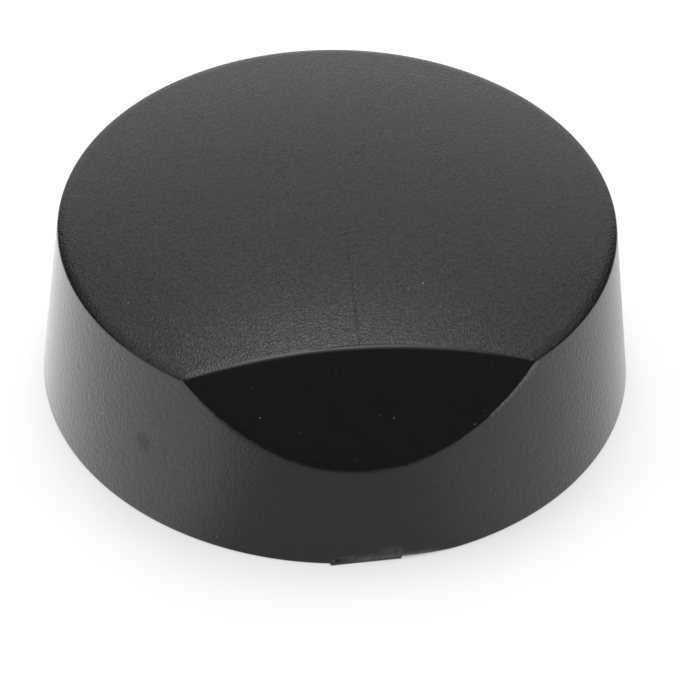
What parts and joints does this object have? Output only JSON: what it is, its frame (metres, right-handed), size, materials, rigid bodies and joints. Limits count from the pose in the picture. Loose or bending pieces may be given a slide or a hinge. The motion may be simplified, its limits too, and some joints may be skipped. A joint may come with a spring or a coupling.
{
  "type": "stove knob",
  "caption": "Round black stove knob with a drafted wall, a low crown and a polished pointer facet; it pushes onto a D-shaped valve shaft.",
  "frame": {"origin": "on the shaft's axis, in the plane of the rim that faces the panel", "axes": "+Z along the shaft's axis from the rim to the crown; the pointer facet faces -Y; +X to the right of it"},
  "size_m": [0.04, 0.0402, 0.015],
  "materials": {
    "black_plastic": "moulded black plastic with a fine grain; the pointer facet is polished",
    "spring_steel": "bright rolled spring steel"
  },
  "bodies": {
    "root": {"knob_body": "black_plastic", "shaft_clip": "spring_steel"}
  },
  "joints": []
}
